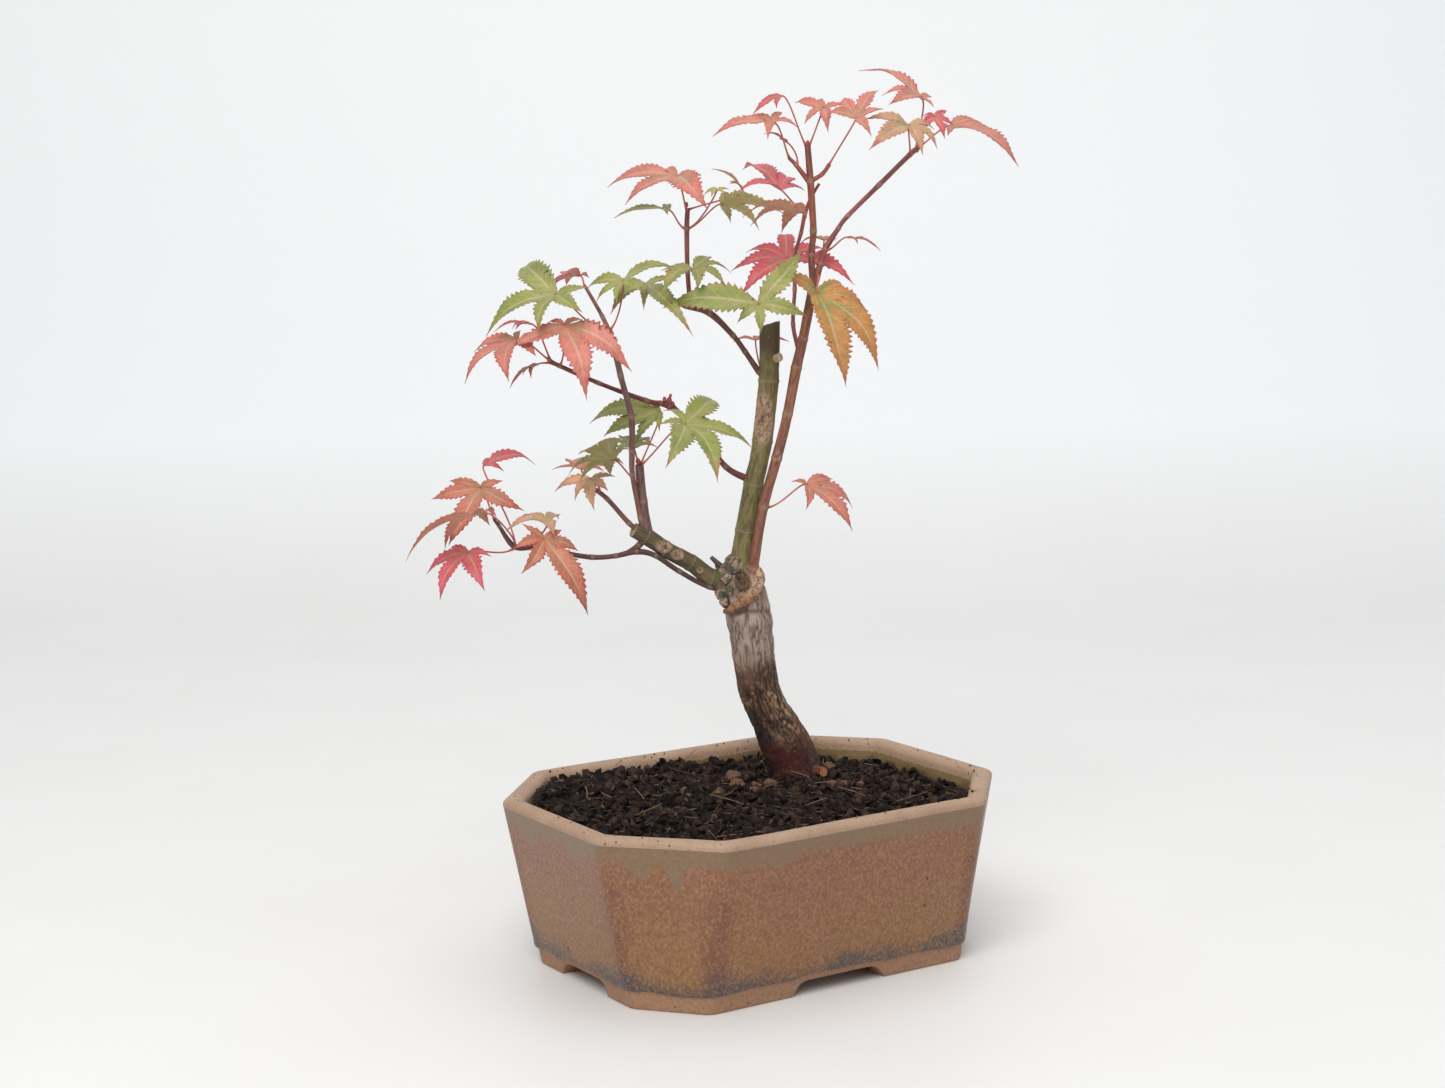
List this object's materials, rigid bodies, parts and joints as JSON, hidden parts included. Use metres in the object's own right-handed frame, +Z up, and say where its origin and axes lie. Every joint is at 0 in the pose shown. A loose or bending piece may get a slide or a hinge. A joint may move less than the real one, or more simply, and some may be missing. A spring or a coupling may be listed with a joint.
{
  "type": "bonsai tree in a pot",
  "caption": "Young maple bonsai with a leaning, grafted trunk and red-green leaves, in a glazed octagonal stoneware pot on low feet.",
  "frame": {"origin": "middle of the bounding box's underside, on the plane the pot's feet stand on", "axes": "+Z up the tree, X along the pot's long side with the grafted left branch towards -X, Y along its short side"},
  "size_m": [0.2627, 0.1614, 0.3774],
  "materials": {
    "glazed_stoneware": "brown stoneware with a satin olive and brown glaze; bare clay at rim and feet",
    "peat_soil": "dark, damp, fibrous",
    "maple_bark": "rough grey-brown bark, olive and red-brown on younger stems",
    "mesh_plastic": "matte black",
    "aluminium_wire": "satin, copper coloured",
    "leaf_russet": "thin matte maple leaf, brown-red",
    "leaf_salmon": "thin matte maple leaf, salmon red",
    "leaf_pink": "thin matte maple leaf, bright pink-red",
    "leaf_tan": "thin matte maple leaf, olive-tan",
    "leaf_green": "thin matte maple leaf, green with browned edges",
    "leaf_lime": "thin matte maple leaf, yellow-green",
    "leaf_orange": "thin matte maple leaf, green to orange"
  },
  "bodies": {
    "root": {"pot": "glazed_stoneware", "soil": "peat_soil", "trunk_and_branches": "maple_bark", "drain_mesh_left": "mesh_plastic", "drain_wire_left": "aluminium_wire", "drain_mesh_right": "mesh_plastic", "drain_wire_right": "aluminium_wire", "leaf_far_01": "leaf_russet", "leaf_far_02": "leaf_salmon", "leaf_far_03": "leaf_pink", "leaf_far_04": "leaf_pink", "leaf_far_05": "leaf_russet", "leaf_far_06": "leaf_tan", "leaf_tall_01": "leaf_green", "leaf_tall_02": "leaf_pink", "leaf_tall_03": "leaf_green", "leaf_upper_01": "leaf_green", "leaf_cross_01": "leaf_salmon", "leaf_cross_02": "leaf_salmon", "leaf_cross_03": "leaf_pink", "leaf_cross_04": "leaf_salmon", "leaf_left_01": "leaf_green", "leaf_left_02": "leaf_green", "leaf_left_03": "leaf_green", "leaf_left_04": "leaf_green", "leaf_small_01": "leaf_tan", "leaf_small_02": "leaf_salmon", "leaf_upright_01": "leaf_salmon", "leaf_upright_02": "leaf_green", "leaf_upright_03": "leaf_lime", "leaf_upright_04": "leaf_tan", "leaf_upright_05": "leaf_lime", "leaf_upper_02": "leaf_green", "leaf_middle_01": "leaf_pink", "leaf_middle_02": "leaf_russet", "leaf_middle_03": "leaf_green", "leaf_middle_04": "leaf_pink", "leaf_middle_05": "leaf_salmon", "leaf_right_01": "leaf_orange", "leaf_right_02": "leaf_tan", "leaf_right_03": "leaf_salmon", "leaf_right_04": "leaf_salmon", "leaf_top_01": "leaf_salmon", "leaf_top_02": "leaf_pink", "leaf_top_03": "leaf_salmon", "leaf_top_04": "leaf_salmon", "leaf_top_05": "leaf_pink", "leaf_outer_01": "leaf_tan", "leaf_outer_02": "leaf_salmon", "leaf_outer_03": "leaf_pink", "leaf_outer_04": "leaf_salmon"}
  },
  "joints": []
}
